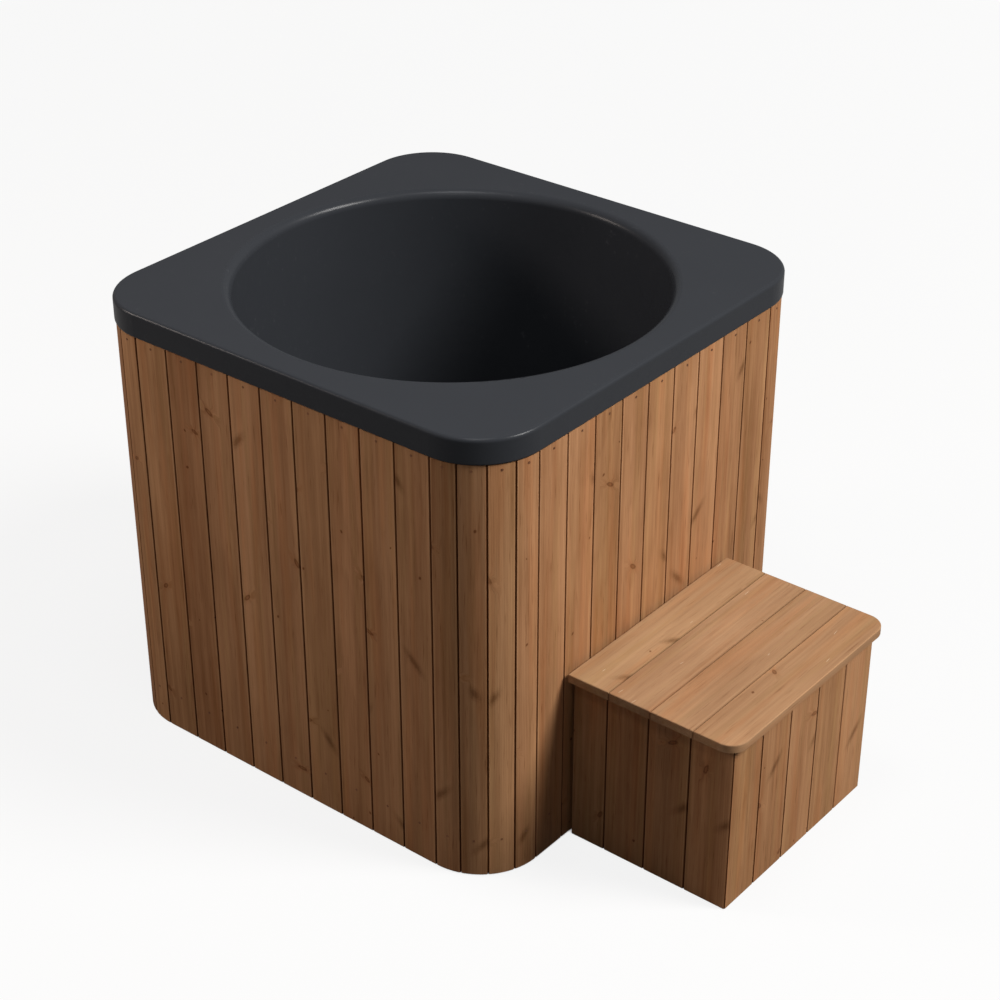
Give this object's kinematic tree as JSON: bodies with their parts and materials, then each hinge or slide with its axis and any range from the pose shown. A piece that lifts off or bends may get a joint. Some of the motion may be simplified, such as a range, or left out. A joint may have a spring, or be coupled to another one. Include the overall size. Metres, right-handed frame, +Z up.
{
  "type": "cold plunge tub",
  "caption": "Square cold plunge tub with rounded corners: upright board cladding round a moulded deck and deep round basin, a rear drain valve, and a free-standing box step.",
  "frame": {"origin": "on the floor, under the middle of the tub, on the middle bearer's underside", "axes": "+Z up; -Y is the plain front; +X is the side where the step stands; +Y is the back with the drain"},
  "size_m": [1.4553, 1.204, 1],
  "materials": {
    "shell_plastic": "satin moulded, fine grain",
    "cladding_wood": "heat-treated softwood, planed, oiled",
    "step_wood": "heat-treated softwood, planed, oiled",
    "frame_timber": "sawn softwood",
    "base_plywood": "softwood plywood",
    "former_plywood": "laminated plywood",
    "dowel_wood": "turned hardwood",
    "nail_steel": "dulled stainless heads",
    "screw_steel": "zinc plated",
    "drain_steel": "brushed stainless",
    "drain_plastic": "grey pressure pipe",
    "gasket_rubber": "moulded",
    "seat_plastic": "white seat ring",
    "valve_brass": "machined, slightly dulled",
    "ball_chrome": "polished",
    "lever_paint": "dip coated"
  },
  "bodies": {
    "tub": {"tub_shell": "shell_plastic", "base_panel": "base_plywood", "corner_formers": "former_plywood", "base_bearer_left": "frame_timber", "base_bearer_middle": "frame_timber", "base_bearer_right": "frame_timber", "corner_post_front_right": "frame_timber", "corner_staves_front_right": "cladding_wood", "corner_post_back_right": "frame_timber", "corner_staves_back_right": "cladding_wood", "corner_post_back_left": "frame_timber", "corner_staves_back_left": "cladding_wood", "corner_post_front_left": "frame_timber", "corner_staves_front_left": "cladding_wood", "top_rail_front": "frame_timber", "bottom_rail_front": "frame_timber", "front_boards": "cladding_wood", "top_rail_right": "frame_timber", "bottom_rail_right": "frame_timber", "right_boards": "cladding_wood", "top_rail_back": "frame_timber", "bottom_rail_back": "frame_timber", "back_boards": "cladding_wood", "top_rail_left": "frame_timber", "bottom_rail_left": "frame_timber", "left_boards": "cladding_wood", "cladding_nails": "nail_steel", "frame_screws": "screw_steel", "rail_dowels": "dowel_wood", "drain_flange": "drain_steel", "drain_gasket": "gasket_rubber", "drain_nut": "drain_plastic", "drain_strainer": "drain_steel", "drain_elbow": "drain_plastic", "drain_pipe": "drain_plastic", "wall_plate": "drain_steel", "valve_body": "valve_brass", "ball_seats": "seat_plastic", "hose_tail": "valve_brass"},
    "drain_lever": {"valve_ball": "ball_chrome", "valve_stem": "valve_brass", "valve_lever": "lever_paint", "lever_nut": "drain_steel"},
    "step": {"tread_board_1": "step_wood", "tread_board_2": "step_wood", "tread_board_3": "step_wood", "tread_board_4": "step_wood", "step_front_boards": "step_wood", "step_left_boards": "step_wood", "step_right_boards": "step_wood", "step_post_front_left": "frame_timber", "step_post_back_left": "frame_timber", "step_left_rails": "frame_timber", "step_post_front_right": "frame_timber", "step_post_back_right": "frame_timber", "step_right_rails": "frame_timber", "step_front_rails": "frame_timber", "step_back_rail": "frame_timber", "step_board_screws": "screw_steel", "tread_screws": "screw_steel"}
  },
  "joints": [
    {"name": "lever_turn", "type": "hinge", "parent": "tub", "child": "drain_lever", "pos_m": [0.17, 0.579, 0.05], "axis": [0, 0, 1], "range_deg": [0, 90]},
    {"name": "step_slide", "type": "slide", "parent": "tub", "child": "step", "axis": [1, 0, 0], "range_m": [0, 0.4]}
  ]
}
